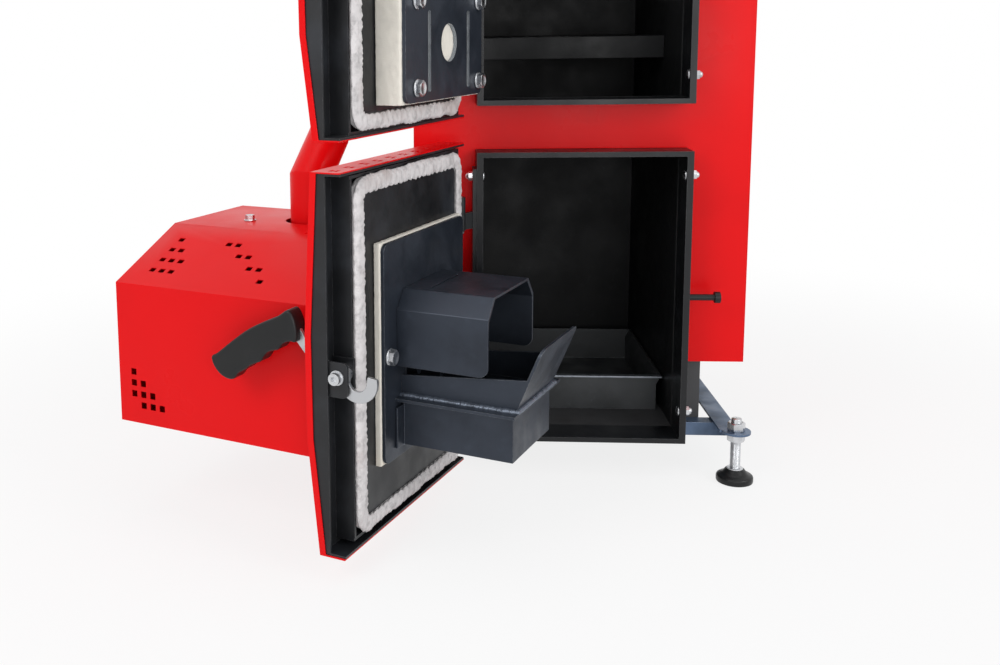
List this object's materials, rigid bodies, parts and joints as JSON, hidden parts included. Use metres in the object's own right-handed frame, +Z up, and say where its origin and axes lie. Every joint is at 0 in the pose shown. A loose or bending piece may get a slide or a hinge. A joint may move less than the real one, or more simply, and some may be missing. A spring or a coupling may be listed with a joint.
{
  "type": "solid fuel boiler",
  "caption": "Upright steel boiler with two hinged firing doors, a pellet burner in a sheet casing on the lower door, an ash drawer and levelling feet.",
  "frame": {"origin": "on the floor, under the middle of the plane where the firing doors seal", "axes": "+Z up, +Y into the boiler, away from the doors, +X to the right as seen from the front"},
  "size_m": [0.9691, 1.0556, 1.21],
  "materials": {
    "steel_dark": "satin",
    "jacket_steel": "matte",
    "red_paint": "satin",
    "zinc": "satin",
    "black_plastic": "matte",
    "rope": "rough",
    "board": "matte",
    "raw_steel": "satin",
    "mineral_wool": "rough",
    "display": "gloss",
    "switch_red": "gloss",
    "rail_steel": "satin",
    "lever_steel": "satin"
  },
  "bodies": {
    "boiler": {"outer_shell": "jacket_steel", "firebox": "steel_dark", "lower_neck": "steel_dark", "upper_neck": "steel_dark", "lower_water_shelf": "steel_dark", "upper_water_shelf": "steel_dark", "front_panel": "red_paint", "left_panel": "red_paint", "right_panel": "red_paint", "back_panel": "red_paint", "top_panel": "red_paint", "casing_insulation": "mineral_wool", "hinge_plates": "steel_dark", "hinge_pins": "zinc", "neck_bolts": "zinc", "neck_nuts": "zinc", "latch_pins": "steel_dark", "base_rails": "rail_steel", "support_angles": "rail_steel", "levelling_feet": "black_plastic", "foot_nuts": "zinc", "flue_outlet": "steel_dark", "water_sockets": "raw_steel", "controller_housing": "black_plastic", "controller_display": "display"},
    "knob": {"controller_knob": "black_plastic"},
    "switch": {"power_switch": "switch_red"},
    "drawer": {"ash_drawer": "raw_steel"},
    "lower_door": {"lower_door_cover": "red_paint", "lower_door_pan": "steel_dark", "lower_door_hinges": "steel_dark", "lower_door_rope": "rope", "lower_door_insulation": "board", "burner_plate": "raw_steel", "burner_hood": "raw_steel", "burner_trough": "raw_steel", "burner_box": "raw_steel", "burner_bolts": "zinc", "burner_body": "raw_steel", "fan_housing": "raw_steel", "burner_casing": "red_paint", "casing_screw": "zinc", "feed_tube": "red_paint", "lower_latch_bracket": "steel_dark", "lower_latch_bolt": "zinc"},
    "auger": {"feed_auger": "raw_steel"},
    "impeller": {"fan_impeller": "raw_steel"},
    "lower_latch": {"lower_latch_lever": "lever_steel", "lower_latch_grip": "black_plastic"},
    "upper_door": {"upper_door_cover": "red_paint", "upper_door_pan": "steel_dark", "upper_door_hinges": "steel_dark", "upper_door_rope": "rope", "upper_door_insulation": "board", "upper_door_plate": "raw_steel", "upper_plate_bolts": "zinc", "upper_latch_bracket": "steel_dark", "upper_latch_bolt": "zinc"},
    "upper_latch": {"upper_latch_lever": "lever_steel", "upper_latch_grip": "black_plastic"}
  },
  "joints": [
    {"name": "lower_door", "type": "hinge", "parent": "boiler", "child": "lower_door", "pos_m": [-0.192, -0.016, 0.29], "axis": [0, 0, 1], "range_deg": [-5.5, 114.5]},
    {"name": "upper_door", "type": "hinge", "parent": "boiler", "child": "upper_door", "pos_m": [-0.192, -0.016, 0.7935], "axis": [0, 0, 1], "range_deg": [-5.5, 114.5]},
    {"name": "lower_latch", "type": "hinge", "parent": "lower_door", "child": "lower_latch", "pos_m": [-0.35381, -0.36865, 0.278], "axis": [-0.4147, -0.91, 0], "range_deg": [-8, 32]},
    {"name": "upper_latch", "type": "hinge", "parent": "upper_door", "child": "upper_latch", "pos_m": [-0.35381, -0.36865, 0.797], "axis": [-0.4147, -0.91, 0], "range_deg": [-8, 32]},
    {"name": "ash_drawer", "type": "slide", "parent": "boiler", "child": "drawer", "axis": [0, 1, 0], "range_m": [-0.3, 0]},
    {"name": "controller_knob", "type": "hinge", "parent": "boiler", "child": "knob", "pos_m": [0.0625, 0.12, 1.179], "axis": [0, -0.5673, 0.8235], "continuous": true},
    {"name": "power_switch", "type": "hinge", "parent": "boiler", "child": "switch", "pos_m": [0.0225, 0.12142, 1.17694], "axis": [1, 0, 0], "range_deg": [-8, 8]},
    {"name": "feed_auger", "type": "hinge", "parent": "lower_door", "child": "auger", "pos_m": [-0.52881, -0.07021, 0.236], "axis": [0.91, -0.4147, 0], "continuous": true},
    {"name": "fan_impeller", "type": "hinge", "parent": "lower_door", "child": "impeller", "pos_m": [-0.42618, -0.14885, 0.32], "axis": [0, 0, 1], "continuous": true}
  ]
}
